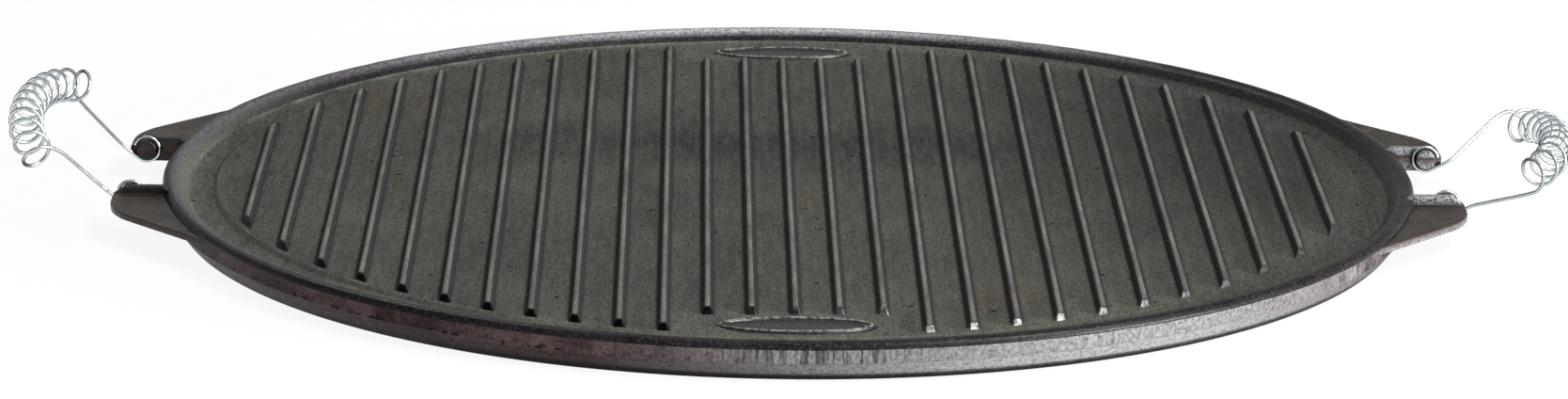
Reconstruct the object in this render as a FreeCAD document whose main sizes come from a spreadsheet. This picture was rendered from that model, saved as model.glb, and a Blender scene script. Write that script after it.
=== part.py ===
"""Round ribbed griddle: one iron casting and two sprung wire handles that swing on cast stubs.

Millimetres. The origin is on the standing plane under the middle of the plate, +Z is up, the ribs run along Y
and the handles lie at -X (left) and +X (right).
"""
import FreeCAD, Part
import math
import os
import re

import Sketcher

from FreeCAD import Placement, Rotation, Vector

os.makedirs("parts", exist_ok=True)

# Fineness of the shapes
WIRE_SIDES = 5
BOW_SLICES = 400
SMALL_TURN = 1e-4
SMALL_SHARE = 1e-5
SAME_PLACE = 1e-4
STRAIGHT_SHARE = 1e-6
ALIKE_SHARE = 1e-9
NEIGHBOUR_WIDTHS = 6

doc = FreeCAD.newDocument("griddle")
sheet = doc.addObject("Spreadsheet::Sheet", "Sizes")

# Driving dimensions: alias, value, what it measures
SIZES = (
    # Plate in section
    ("rim_radius", 215.0, "outside of the plate"),
    ("rim_height", 13.4, "standing plane to the crest of the rim"),
    ("band_height", 6.6, "standing plane to the step round the outside"),
    ("band_drop", 0.4, "height over which the step runs in"),
    ("band_step", 0.8, "how far the step runs in"),
    ("skirt_inset", 5.5, "how far the foot of the tapered lower band stands inside the rim"),
    ("bead_width", 5.6, "flat and rounded width of the rim"),
    ("bead_round", 1.7, "rounding of the rim's two upper edges"),
    ("round_share", 0.3, "share of that rounding at which its middle lies in from the corner"),
    ("bead_slope", 3.4, "run of the rim's inner slope"),
    ("gutter_height", 8.9, "standing plane to the gutter round the cooking face"),
    ("face_height", 9.9, "standing plane to the cooking face between the ribs"),
    ("face_inset", 18.5, "rim to the edge of the cooking face"),
    ("face_slope", 1.6, "run of the cooking face's edge"),
    ("foot_width", 8.0, "standing ring under the plate"),
    ("foot_depth", 5.0, "depth of the hollow underside"),
    ("foot_slope", 3.0, "run of the standing ring's inner side"),
    # Ribs
    ("rib_pitch", 14.0, "from rib to rib"),
    ("rib_base", 3.5, "width where a rib leaves the face"),
    ("rib_shoulder", 2.5, "width under the rounded crown"),
    ("rib_height", 2.3, "face to crown"),
    ("rib_crown", 0.7, "height of the rounded crown"),
    ("rib_root", 0.5, "depth that a rib is sunk into the face"),
    ("rib_inset", 2.0, "edge of the cooking face to where the long ribs end"),
    ("rib_clear", 8.0, "least distance of the outermost rib from the side of that circle"),
    ("rib_end_slope", 1.6, "run of a rib's sloping end"),
    ("short_rib_count", 5, "middle ribs that stop short of the two ovals"),
    ("short_rib_inset", 25.5, "edge of the cooking face to where the short ribs end"),
    # Raised ovals, left blank
    ("oval_length", 50.0, "outside, across the plate"),
    ("oval_width", 17.5, "outside, along the ribs"),
    ("oval_border", 2.2, "width of the raised border"),
    ("oval_relief", 0.9, "border above the face"),
    ("oval_sink", 0.35, "panel inside the border below its top"),
    ("oval_inset", 12.5, "edge of the cooking face to the middle of an oval"),
    # Lugs
    ("lug_gap", 62.6, "between the inner faces of a pair of lugs"),
    ("lug_out", 14.6, "rim to a lug's outer end"),
    ("lug_root", 5.5, "how far a lug is sunk into the rim"),
    ("shelf_height", 11.4, "standing plane to the top of a lug's shelf"),
    ("shelf_thick", 2.4, "thickness of the shelf"),
    ("shelf_nose", 21.0, "width of the shelf's outer end before its corner is rounded"),
    ("shelf_round", 30.0, "rounding of the shelf's outer corner"),
    ("shelf_angle", 31.0, "direction from the middle of the plate in which the shelf's edge ends in the rim"),
    ("shelf_root_share", 0.65, "share of that angle at which the buried side of the shelf has a corner"),
    ("shelf_edge_round", 0.8, "rounding of the shelf's upper edge"),
    ("wall_thick", 3.6, "thickness of the upright wall of a lug"),
    ("wall_top", 14.4, "standing plane to the top of the wall"),
    ("wall_foot", 6.2, "standing plane to the bottom of the wall"),
    ("wall_tip_run", 4.6, "run over which the wall slopes down to its tip"),
    ("wall_root_run", 5.0, "run over which the wall rises from the rim"),
    ("wall_heel_run", 5.0, "run over which the wall's bottom slopes up to its tip"),
    ("stub_radius", 3.4, "cast stub that an eye turns on"),
    ("stub_length", 3.4, "stub beyond the wall"),
    ("stub_edge", 0.7, "bevel at the end of the stub"),
    # Hinge lines
    ("hinge_back", 5.8, "a lug's outer end back to the hinge line"),
    ("hinge_height", 10.8, "standing plane to the hinge lines"),
    ("eye_side_play", 0.3, "between the wire and the wall of the lug"),
    ("eye_play", 0.35, "between the wire and the stub, all round"),
    # Wire handles
    ("wire_width", 1.15, "diameter of the wire"),
    ("coil_radius", 5.4, "middle line of the wire in the coil"),
    ("coil_turns", 11, "whole turns of the coil, which has a half turn more"),
    ("grip_place", 22.8, "hinge line to the middle of the bow that the coil follows"),
    ("grip_depth", 20.9, "depth of that bow"),
    ("grip_half", 47.4, "half the width of that bow"),
    ("grip_turn", 70.0, "angle of the bow each side of its middle"),
    ("grip_lift", 3.1, "coil's ends above and below the handle's plane"),
    ("grip_skew", 1.8, "one end of the coil farther out than the middle, and the other nearer"),
    ("lug_clear", 0.9, "a lug's outer end to where the wire turns away"),
    ("leg_bend", 2.6, "each side of the bend where the wire turns away"),
    ("coil_bend", 3.4, "each side of the bend where the wire enters the coil"),
    ("left_tilt", 33.5, "angle of the left handle above level"),
    ("right_tilt", 20.7, "angle of the right handle above level"),
    ("eye_open", 15.0, "angle of the cut end below the handle's plane"),
    ("eye_rise", 5.0, "angle at which the wire leaves the eye, above the handle's plane"),
)

for row, (alias, value, note) in enumerate(SIZES, start=1):
    sheet.set("A%d" % row, note)
    sheet.set("B%d" % row, str(value))
    sheet.setAlias("B%d" % row, alias)
doc.recompute()


# What follows from them, as expressions
FACE_RADIUS = "(rim_radius - face_inset)"
RIB_REACH = "(rim_radius - face_inset - rib_inset)"
SHORT_RIB_REACH = "(rim_radius - face_inset - short_rib_inset)"
SIDE_RIB_COUNT = "(floor((" + RIB_REACH + " - rib_clear) / rib_pitch) - (short_rib_count - 1) / 2)"
LUG_END = "(rim_radius + lug_out)"
LUG_ROOT = "(rim_radius - lug_root)"
LUG_HEEL = "sqrt(" + LUG_ROOT + "^2 - (lug_gap / 2)^2)"
HINGE_PLACE = "(rim_radius + lug_out - hinge_back)"


def size(alias):
    """Number in the cell of that name."""
    return float(getattr(sheet, alias))


def named(expression):
    """The expression with each size's name turned into a reference to its cell."""
    names = {alias for alias, _, _ in SIZES}

    def refer(word):
        return "Sizes." + word.group() if word.group() in names else word.group()
    return re.sub("[a-z_]+", refer, expression)


def bind(thing, path, expression):
    thing.setExpression(path, named(expression))


def new_body(label):
    body = doc.addObject("PartDesign::Body", label)
    body.Label = label
    return body


def origin_plane(body, role):
    return next(item for item in body.Origin.OriginFeatures if item.Role == role)


def new_outline(body, label, role, corners):
    """Closed sketch of straight sides; each corner is a pair of expressions in the plane's own two axes."""
    sketch = body.newObject("Sketcher::SketchObject", label)
    sketch.AttachmentSupport = [(origin_plane(body, role), "")]
    sketch.MapMode = "FlatFace"
    spread = [Vector(math.cos(math.tau * i / len(corners)), math.sin(math.tau * i / len(corners)), 0)
              for i in range(len(corners))]
    count = len(corners)
    for i in range(count):
        sketch.addGeometry(Part.LineSegment(spread[i], spread[(i + 1) % count]), False)
    for i in range(count):
        sketch.addConstraint(Sketcher.Constraint("Coincident", i, 2, (i + 1) % count, 1))
    for i, (across, along) in enumerate(corners):
        for kind, expression, first in (("DistanceX", across, spread[i].x), ("DistanceY", along, spread[i].y)):
            index = sketch.addConstraint(Sketcher.Constraint(kind, -1, 1, i, 1, first))
            bind(sketch, "Constraints[%d]" % index, expression)
    return sketch


def pad(body, label, sketch, length, both_ways=False):
    feature = body.newObject("PartDesign::Pad", label)
    feature.Profile = sketch
    feature.Midplane = both_ways
    bind(feature, "Length", length)
    return feature


def edges_where(shape, test):
    """Names of the edges whose own middle and length pass the test."""
    names = []
    for number, edge in enumerate(shape.Edges, start=1):
        middle = edge.valueAt((edge.FirstParameter + edge.LastParameter) / 2)
        if test(edge, middle):
            names.append("Edge%d" % number)
    return names


def round_off(body, label, base, names, radius, kind="PartDesign::Fillet", prop="Radius"):
    feature = body.newObject(kind, label)
    feature.Base = (base, names)
    bind(feature, prop, radius)
    return feature


def near(a, b):
    return abs(a - b) < SAME_PLACE


def boolean(kind, label, base, tool):
    thing = doc.addObject(kind, label)
    thing.Base = base
    thing.Tool = tool
    return thing


def fused(label, pieces):
    thing = doc.addObject("Part::MultiFuse", label)
    thing.Shapes = pieces
    return thing


def mirrored(label, source, normal):
    thing = doc.addObject("Part::Mirroring", label)
    thing.Source = source
    thing.Normal = normal
    return thing


def make_disc():
    """The round plate in section: standing ring, two outer bands, rim, gutter and cooking face."""
    body = new_body("disc")
    outline = new_outline(body, "disc_section", "XZ_Plane", (
        ("0", "foot_depth"),
        ("rim_radius - skirt_inset - foot_width - foot_slope", "foot_depth"),
        ("rim_radius - skirt_inset - foot_width", "0"),
        ("rim_radius - skirt_inset", "0"),
        ("rim_radius - band_step", "band_height - band_drop"),
        ("rim_radius", "band_height"),
        ("rim_radius", "rim_height - bead_round"),
        ("rim_radius - bead_round * round_share", "rim_height - bead_round * round_share"),
        ("rim_radius - bead_round", "rim_height"),
        ("rim_radius - bead_width + bead_round", "rim_height"),
        ("rim_radius - bead_width", "rim_height - bead_round / 2"),
        ("rim_radius - bead_width - bead_slope", "gutter_height"),
        (FACE_RADIUS + " + face_slope", "gutter_height"),
        (FACE_RADIUS, "face_height"),
        ("0", "face_height"),
    ))
    turned = body.newObject("PartDesign::Revolution", "disc_turned")
    turned.Profile = outline
    turned.ReferenceAxis = (outline, ["V_Axis"])
    turned.Angle = 360
    return body


def rib_outline(body, label, place):
    """Section of one rib whose middle stands at that place across the plate."""
    return new_outline(body, label, "XZ_Plane", (
        (place + " - rib_base / 2", "face_height - rib_root"),
        (place + " + rib_base / 2", "face_height - rib_root"),
        (place + " + rib_shoulder / 2", "face_height + rib_height - rib_crown"),
        (place + " + rib_shoulder / 2 - rib_crown", "face_height + rib_height"),
        (place + " - rib_shoulder / 2 + rib_crown", "face_height + rib_height"),
        (place + " - rib_shoulder / 2", "face_height + rib_height - rib_crown"),
    ))


def rib_row(label, place, count, reach):
    """Row of equal ribs from the place of the first one outwards."""
    body = new_body(label)
    outline = rib_outline(body, label + "_section", place)
    first = pad(body, label + "_first", outline, "2 * " + reach, both_ways=True)
    row = body.newObject("PartDesign::LinearPattern", label + "_row")
    row.Originals = [first]
    row.Direction = (outline, ["H_Axis"])
    bind(row, "Length", "rib_pitch * (%s - 1)" % count)
    bind(row, "Occurrences", count)
    body.Tip = row
    return body


def make_side_ribs():
    """The long ribs of one side, ended by the cone that their sloping ends lie on."""
    row = rib_row("side_ribs", "(short_rib_count + 1) / 2 * rib_pitch", SIDE_RIB_COUNT, RIB_REACH)
    cone = doc.addObject("Part::Cone", "side_rib_ends")
    bind(cone, "Radius1", RIB_REACH + " + rib_end_slope * rib_root / rib_height")
    bind(cone, "Radius2", RIB_REACH + " - rib_end_slope")
    bind(cone, "Height", "rib_root + rib_height")
    bind(cone, "Placement.Base.z", "face_height - rib_root")
    return boolean("Part::Common", "side_ribs_ended", row, cone)


def make_short_ribs():
    """The middle ribs, which leave room for an oval at each end."""
    row = rib_row("short_ribs", "(1 - short_rib_count) / 2 * rib_pitch", "short_rib_count", SHORT_RIB_REACH)
    body = new_body("short_rib_ends")
    low = SHORT_RIB_REACH + " + rib_end_slope * rib_root / rib_height"
    high = SHORT_RIB_REACH + " - rib_end_slope"
    outline = new_outline(body, "short_rib_side", "YZ_Plane", (
        ("-(" + low + ")", "face_height - rib_root"),
        (low, "face_height - rib_root"),
        (high, "face_height + rib_height"),
        ("-(" + high + ")", "face_height + rib_height"),
    ))
    pad(body, "short_rib_block", outline, "short_rib_count * rib_pitch", both_ways=True)
    return boolean("Part::Common", "short_ribs_ended", row, body)


def oval(label, length, width, bottom, top):
    """Upright oval block at the place of the rear oval."""
    line = doc.addObject("Part::Ellipse", label + "_line")
    bind(line, "MajorRadius", length + " / 2")
    bind(line, "MinorRadius", width + " / 2")
    bind(line, "Placement.Base.y", FACE_RADIUS + " - oval_inset")
    bind(line, "Placement.Base.z", bottom)
    block = doc.addObject("Part::Extrusion", label)
    block.Base = line
    block.DirMode = "Custom"
    block.Dir = Vector(0, 0, 1)
    block.Solid = True
    bind(block, "LengthFwd", "%s - (%s)" % (top, bottom))
    return block


def make_oval():
    """Raised oval border round a plain panel, where such plates carry a cast mark."""
    plate = oval("oval_block", "oval_length", "oval_width", "face_height - rib_root",
                 "face_height + oval_relief")
    inside = oval("oval_inside", "(oval_length - 2 * oval_border)", "(oval_width - 2 * oval_border)",
                  "face_height + oval_relief - oval_sink", "face_height + oval_relief + oval_sink")
    return boolean("Part::Cut", "oval_bordered", plate, inside)


def make_shelf():
    """Level gusset of a lug, with its outer corner rounded."""
    body = new_body("lug_shelf")
    outline = new_outline(body, "shelf_plan", "XY_Plane", (
        (LUG_HEEL, "lug_gap / 2 + wall_thick / 2"),
        (LUG_END, "lug_gap / 2 + wall_thick / 2"),
        (LUG_END, "lug_gap / 2 + shelf_nose"),
        (LUG_ROOT + " * cos(shelf_angle)", LUG_ROOT + " * sin(shelf_angle)"),
        (LUG_ROOT + " * cos(shelf_angle * shelf_root_share)",
         LUG_ROOT + " * sin(shelf_angle * shelf_root_share)"),
    ))
    bind(outline, "AttachmentOffset.Base.z", "shelf_height - shelf_thick")
    plate = pad(body, "shelf_plate", outline, "shelf_thick")
    doc.recompute()
    nose = size("lug_gap") / 2 + size("shelf_nose")
    end = size("rim_radius") + size("lug_out")
    corner = edges_where(plate.Shape, lambda edge, middle: near(middle.x, end) and near(middle.y, nose))
    rounded = round_off(body, "shelf_cornered", plate, corner, "shelf_round")
    doc.recompute()
    buried = size("rim_radius") - size("lug_root")
    inner = (size("lug_gap") + size("wall_thick")) / 2
    upper = edges_where(rounded.Shape, lambda edge, middle: near(middle.z, size("shelf_height"))
                        and middle.y > inner + size("shelf_edge_round")
                        and math.hypot(middle.x, middle.y) > buried + size("shelf_edge_round"))
    round_off(body, "shelf_edged", rounded, upper, "shelf_edge_round", "PartDesign::Chamfer", "Size")
    return body


def make_wall():
    """Upright wall of a lug, along the shelf's inner side."""
    body = new_body("lug_wall")
    outline = new_outline(body, "wall_side", "XZ_Plane", (
        (LUG_HEEL, "wall_foot"),
        (LUG_END + " - wall_heel_run", "wall_foot"),
        (LUG_END, "shelf_height - shelf_thick"),
        (LUG_END, "shelf_height"),
        (LUG_END + " - wall_tip_run", "wall_top"),
        (LUG_HEEL + " + wall_root_run", "wall_top"),
        (LUG_HEEL, "rim_height - bead_round"),
    ))
    bind(outline, "AttachmentOffset.Base.z", "-lug_gap / 2")
    wall = pad(body, "wall_plate", outline, "wall_thick")
    wall.Reversed = True
    return body


def make_stub():
    """Round cast stub that an eye turns on, with a bevelled end, its root in the wall."""
    shank = doc.addObject("Part::Cylinder", "stub_shank")
    bind(shank, "Radius", "stub_radius")
    bind(shank, "Height", "wall_thick / 2 + stub_length - stub_edge")
    end = doc.addObject("Part::Cone", "stub_end")
    bind(end, "Radius1", "stub_radius")
    bind(end, "Radius2", "stub_radius - stub_edge")
    bind(end, "Height", "stub_edge")
    places = ("lug_gap / 2 + wall_thick / 2", "lug_gap / 2 - stub_length + stub_edge")
    for piece, place in zip((shank, end), places):
        piece.Placement = Placement(Vector(), Rotation(Vector(1, 0, 0), 90))
        bind(piece, "Placement.Base.x", HINGE_PLACE)
        bind(piece, "Placement.Base.y", place)
        bind(piece, "Placement.Base.z", "hinge_height")
    return [shank, end]


def make_plate():
    """The whole casting: plate, ribs, ovals and four lugs."""
    across = Vector(1, 0, 0)
    along = Vector(0, 1, 0)
    ribs = make_side_ribs()
    mark = make_oval()
    lug = fused("lug", [make_shelf(), make_wall()] + make_stub())
    lug_front = mirrored("lug_front", lug, along)
    lug_pair = fused("lug_pair", [lug, lug_front])
    casting = fused("griddle_plate", [
        make_disc(),
        ribs,
        mirrored("side_ribs_left", ribs, across),
        make_short_ribs(),
        mark,
        mirrored("oval_front", mark, along),
        lug_pair,
        mirrored("lug_pair_left", lug_pair, across),
    ])
    casting.Label = "griddle_plate"
    return casting


def biarc(start, start_way, end, end_way):
    """One straight run, or two tangent arcs, from one place and direction to another."""
    span = end - start
    if max(span.cross(way).Length for way in (start_way, end_way)) < STRAIGHT_SHARE * span.Length:
        return [Part.LineSegment(start, end).toShape()]
    ways = start_way + end_way
    apart = 2 * (1 - start_way.dot(end_way))
    along = span.dot(ways)
    if apart < ALIKE_SHARE:
        reach = span.dot(span) / (4 * span.dot(end_way))
    else:
        reach = (math.sqrt(along * along + apart * span.dot(span)) - along) / apart
    first_corner = start + start_way * reach
    second_corner = end - end_way * reach
    middle = (first_corner + second_corner) * 0.5
    return [arc(start, start_way, middle), arc(middle, (second_corner - first_corner).normalize(), end)]


def arc(start, way, end):
    """Arc that leaves a place in a direction and ends at another place."""
    span = end - start
    side = way - span * (way.dot(span) / span.dot(span))
    half = way.getAngle(span) / 2
    crown = start + span * 0.5 + side.normalize() * (span.Length / 2 * math.tan(half))
    return Part.Arc(start, crown, end).toShape()


def wire_eye(side):
    """Places and directions round an eye, from the cut end to where the wire is clear of the lug.

    In the handle's own axes: X outwards, Y along the hinge line, Z up from the handle's plane."""
    wire = size("wire_width")
    radius = size("stub_radius") + size("eye_play") + wire / 2
    place = side * (size("lug_gap") / 2 - size("eye_side_play") - wire / 2)
    first = math.radians(-size("eye_open"))
    last = math.radians(270 + size("eye_rise"))
    steps = math.ceil((last - first) / (math.pi / 2))
    stations = []
    for i in range(steps + 1):
        turn = first + (last - first) * i / steps
        at = Vector(radius * math.cos(turn), place, radius * math.sin(turn))
        stations.append((at, Vector(-math.sin(turn), 0, math.cos(turn))))
    leave, way = stations[-1]
    run = math.sqrt((size("hinge_back") + size("lug_clear")) ** 2 - radius ** 2)
    stations.append((leave + way * run, way))
    return stations


def bow(turn):
    """Place on the bow that the coil follows, at an angle from its middle."""
    limit = math.radians(size("grip_turn"))
    aside = math.sin(turn) / math.sin(limit)
    return Vector(size("grip_place") + size("grip_depth") * math.cos(turn) + size("grip_skew") * aside,
                  size("grip_half") * math.sin(turn), -size("grip_lift") * aside)


def bow_runs():
    """Angles along the bow, each with the bow's length up to it."""
    limit = math.radians(size("grip_turn"))
    turns = [limit * (2 * i / BOW_SLICES - 1) for i in range(-1, BOW_SLICES + 2)]
    runs = [(turns[0], -(bow(turns[1]) - bow(turns[0])).Length)]
    for first, second in zip(turns, turns[1:]):
        runs.append((second, runs[-1][1] + (bow(second) - bow(first)).Length))
    return runs


def coil_place(runs, share):
    """Place on the middle line of the coiled wire at a share of the coil's length."""
    wanted = share * runs[-2][1]
    slot = next(i for i, (_, far) in enumerate(runs) if far > wanted)
    before, after = runs[slot - 1], runs[slot]
    turn = before[0] + (after[0] - before[0]) * (wanted - before[1]) / (after[1] - before[1])
    way = (bow(turn + SMALL_TURN) - bow(turn - SMALL_TURN)).normalize()
    out = way.cross(Vector(0, 0, 1)).normalize()
    up = out.cross(way)
    phase = math.tau * (size("coil_turns") + 0.5) * share
    return bow(turn) + (out * math.sin(phase) - up * math.cos(phase)) * size("coil_radius")


def wire_coil():
    """Places and directions at each half turn, from the bottom of the first turn to the top of the last."""
    runs = bow_runs()
    halves = int(2 * size("coil_turns") + 1)
    stations = []
    for i in range(halves + 1):
        share = i / halves
        way = (coil_place(runs, share + SMALL_SHARE) - coil_place(runs, share - SMALL_SHARE)).normalize()
        stations.append((coil_place(runs, share), way))
    return stations


def wire_leg(side, coil_at, coil_way):
    """Places and directions from the cut end of an eye along its leg, up to the coil."""
    stations = wire_eye(side)
    clear, way = stations[-1]
    bend, turn_in = size("leg_bend"), size("coil_bend")
    near_lug = clear + way * bend
    near_coil = coil_at - coil_way * turn_in
    straight = (near_coil - near_lug).normalize()
    stations.append((near_lug + straight * bend, straight))
    stations.append((near_coil - straight * turn_in, straight))
    return stations


def wire_path():
    """Whole middle line of one handle: eye, leg, coil, leg and eye."""
    coil = wire_coil()
    first = wire_leg(-1, coil[0][0], coil[0][1])
    last = wire_leg(1, coil[-1][0], coil[-1][1] * -1)
    stations = first + coil + [(at, way * -1) for at, way in reversed(last)]
    edges = []
    for (start, start_way), (end, end_way) in zip(stations, stations[1:]):
        edges += biarc(start, start_way, end, end_way)
    return edges


def least_gap(edges):
    """Least clear distance between stretches of the wire that are not neighbours."""
    step = size("wire_width") / 2
    places, fars, far = [], [], 0.0
    for edge in edges:
        count = math.ceil(edge.Length / step)
        span = edge.LastParameter - edge.FirstParameter
        for i in range(count):
            places.append(edge.valueAt(edge.FirstParameter + span * i / count))
            fars.append(far + edge.Length * i / count)
        far += edge.Length
    apart = NEIGHBOUR_WIDTHS * size("wire_width")
    least = min(places[i].distanceToPoint(places[j]) for i in range(len(places)) for j in range(i)
                if fars[i] - fars[j] > apart)
    return least - size("wire_width")


def make_handle(label, tilt, turned):
    """One handle of a single wire, set on its hinge line at its angle above level."""
    edges = wire_path()
    spine = Part.Wire(edges)
    radius = size("wire_width") / 2
    start, way = wire_eye(-1)[0]
    side = Vector(0, 1, 0)
    other = way.cross(side)
    turns = [math.tau * i / WIRE_SIDES for i in range(WIRE_SIDES)]
    corners = [start + (side * math.cos(turn) + other * math.sin(turn)) * radius for turn in turns]
    section = Part.makePolygon(corners + corners[:1])
    tube = spine.makePipeShell([section], True, False)
    handle = doc.addObject("Part::Feature", label)
    handle.Label = label
    handle.Shape = tube
    swing = Rotation(Vector(0, 0, 1), turned).multiply(Rotation(Vector(0, 1, 0), -tilt))
    out = swing.multVec(Vector(1, 0, 0)).x
    reach = size("rim_radius") + size("lug_out") - size("hinge_back")
    handle.Placement = Placement(Vector(math.copysign(reach, out), 0, size("hinge_height")), swing)
    radii = [edge.Curve.Radius for edge in edges if isinstance(edge.Curve, Part.Circle)]
    area = WIRE_SIDES / 2 * math.sin(math.tau / WIRE_SIDES) * radius ** 2
    print(label, "wire length %.1f" % spine.Length, "volume share %.4f" % (tube.Volume / (area * spine.Length)))
    print(label, "tightest arc %.2f" % min(radii), "least gap to itself %.2f" % least_gap(edges))
    return handle


parts = [
    make_plate(),
    make_handle("left_handle", size("left_tilt"), 180),
    make_handle("right_handle", size("right_tilt"), 0),
]
doc.recompute()

for thing in doc.Objects:
    if "Invalid" in thing.State or "Error" in thing.State:
        raise SystemExit("%s failed: %s" % (thing.Name, thing.State))
for part in parts:
    if part.Shape.isNull() or not part.Shape.isValid() or len(part.Shape.Solids) != 1:
        raise SystemExit("%s has no sound solid" % part.Label)
for part in parts:
    part.Shape.exportStep("parts/%s.step" % part.Label)
    box = part.Shape.BoundBox
    sides = (box.XLength, box.YLength, box.ZLength)
    print(part.Label, "%.1f x %.1f x %.1f" % sides, "volume %.0f" % part.Shape.Volume)
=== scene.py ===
"""Looks of the ribbed griddle: the finished casting, its two wire handles, the studio and the camera.

Lengths are in millimetres up to the point where a mesh is made, and Blender gets metres. +X is right, +Y is
away from the viewer, +Z is up, and the plate stands on Z = 0.
"""

import math

import bmesh
import bpy
from mathutils import Matrix, Vector, noise


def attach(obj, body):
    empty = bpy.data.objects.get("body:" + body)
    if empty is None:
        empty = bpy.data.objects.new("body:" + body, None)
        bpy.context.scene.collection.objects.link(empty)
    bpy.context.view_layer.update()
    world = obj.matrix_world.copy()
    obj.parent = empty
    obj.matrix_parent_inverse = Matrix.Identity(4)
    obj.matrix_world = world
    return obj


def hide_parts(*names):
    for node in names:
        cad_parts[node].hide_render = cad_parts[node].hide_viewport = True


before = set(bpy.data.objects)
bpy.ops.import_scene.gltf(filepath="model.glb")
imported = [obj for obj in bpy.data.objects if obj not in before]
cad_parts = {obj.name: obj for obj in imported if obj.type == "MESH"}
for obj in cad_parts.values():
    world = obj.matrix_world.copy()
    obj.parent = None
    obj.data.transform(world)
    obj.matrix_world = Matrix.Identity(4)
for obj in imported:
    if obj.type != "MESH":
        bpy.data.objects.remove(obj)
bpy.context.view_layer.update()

MM = 0.001

# Plate, in section
RIM_RADIUS = 215.0
RIM_HEIGHT = 13.4
BAND_HEIGHT = 6.6
BAND_DROP = 0.4
BAND_STEP = 0.8
SKIRT_INSET = 5.5
BEAD_WIDTH = 5.1
BEAD_SLOPE = 3.9
GUTTER_HEIGHT = 8.9
FACE_HEIGHT = 9.9
FACE_RADIUS = 196.5
FACE_SLOPE = 1.6
FOOT_WIDTH = 8.0
FOOT_SLOPE = 3.0
FOOT_DEPTH = 5.0
UNDERSIDE_RING = 60.0
FACE_RINGS = (150.0, 80.0)
DISC_SEGMENTS = 480

# Ribs
RIB_PITCH = 14.0
SIDE_RIBS = 11
RIB_REACH = 194.5
SHORT_RIBS = 5
SHORT_REACH = 171.0
RIB_HEIGHT = 2.3
RIB_FOOT = 0.2
# A rib's section: across, up, corner radius
RIB_CORNERS = (
    (-2.7, -0.06, 0),
    (-2.0, -0.06, 0.5),
    (-0.9, RIB_HEIGHT, 0.9),
    (0.9, RIB_HEIGHT, 0.9),
    (2.0, -0.06, 0.5),
    (2.7, -0.06, 0),
)
RIB_CORNER_STEPS = 4
# The slope at a rib's end: distance from the end, up
END_LINE = ((0.0, -0.06), (0.25, 0.1), (0.5, 0.5), (0.8, 1.05), (1.1, 1.55), (1.4, 1.95), (1.75, 2.2),
            (2.2, 2.28), (2.8, 2.3), (6.0, 2.3))
# How many rows of that slope have the skin of the ends, and the rows between the slopes as shares of the way
END_ROWS = 7
MIDDLE_ROWS = (0.75, 0.5, 0.25, 0.0, -0.25, -0.5, -0.75)

# Ovals, and the section of their border: inset, up
OVAL_PLACE = 184.0
OVAL_HALF_LENGTH = 25.0
OVAL_HALF_WIDTH = 8.75
OVAL_LINE = ((-1.2, -0.06), (-1.0, 0.03), (0.0, 0.06), (0.15, 0.3), (0.35, 0.72), (0.7, 0.97), (1.15, 1.0),
             (1.6, 0.9), (1.9, 0.6), (2.1, 0.3), (2.4, 0.2), (3.0, 0.2), (6.0, 0.2))
OVAL_SEGMENTS = 96

# Lugs and hinges
LUG_GAP = 62.6
LUG_REACH = 229.6
LUG_ROOT = 209.5
SHELF_BOTTOM = 9.0
SHELF_TOP = 11.4
SHELF_NOSE = 21.0
SHELF_ROUND = 30.0
SHELF_ANGLE = math.radians(31.0)
SHELF_BEND = 0.65
WALL_THICK = 3.6
WALL_TOP = 14.4
WALL_FOOT = 6.2
# How far the wall's lower and upper edges slope back from its nose, how far its upper edge slopes towards the
# plate, and how far below the rim it ends there
NOSE_LOWER_SLOPE = 5.0
NOSE_UPPER_SLOPE = 4.6
HEEL_SLOPE = 5.0
HEEL_DROP = 1.7
STUB_RADIUS = 3.4
STUB_LENGTH = 3.4
STUB_SIDES = 40
HINGE_PLACE = 223.8
HINGE_HEIGHT = 10.8
LUG_VOXEL = 0.35
LUG_SOFTENING = 5

# Unevenness of the casting. Swells and wanders go sideways, lifts go up and down, and waves are their scales.
# The plate is even inside EVEN_RADIUS and below EVEN_HEIGHT, and a rib below its crown.
RIM_SWELL = 0.1
RIM_RIPPLE = 0.05
RIM_LIFT = 0.09
RIM_WAVES = 9.0
EVEN_RADIUS = 200.0
EVEN_HEIGHT = 9.5
RIB_WANDER = 0.12
RIB_LIFT = 0.07
RIB_WAVES = (0.07, 0.035)
RIB_CROWN = 1.5
OVAL_LIFT = 0.06
OVAL_WAVES = 0.5
LUG_LUMPS = 0.07
LUG_WAVES = 0.9

# Wire handles: the open eye at each end, the leg and its two bends, and the coil with the bow that it follows
WIRE_RADIUS = 0.575
EYE_RADIUS = 4.325
EYE_PLACE = 30.425
EYE_OPEN = math.radians(15.0)
EYE_RISE = math.radians(5.0)
EYE_CLEAR = 6.7
LEG_BEND = 2.6
COIL_BEND = 3.4
COIL_RADIUS = 5.4
COIL_TURNS = 11.5
GRIP_PLACE = 22.8
GRIP_DEPTH = 20.9
GRIP_HALF = 47.4
GRIP_TURN = math.radians(70.0)
GRIP_LIFT = 3.1
GRIP_SKEW = 1.8
LEFT_TILT = 33.5
RIGHT_TILT = 20.7
# Rounded cut ends of the wire, and how finely it is drawn
CUT_LENGTH = 0.12
CUT_SHARE = 0.8
WIRE_SIDES = 14
EYE_STEPS = 36
COIL_STEPS = 28
BOW_SLICES = 600
SLIGHT_TURN = 1e-4

# Camera, worked out from the run of the ribs and the outline of the plate
PHOTO_WIDTH = 1668
FOCAL_PIXELS = 6325.9
SENSOR_WIDTH = 36.0
AZIMUTH = math.radians(-0.954)
ELEVATION = math.radians(14.67)
ROLL = math.radians(0.70)
DISTANCE = 2053.0
SHIFT_PIXELS = (-4.7, -22.4)

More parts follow.
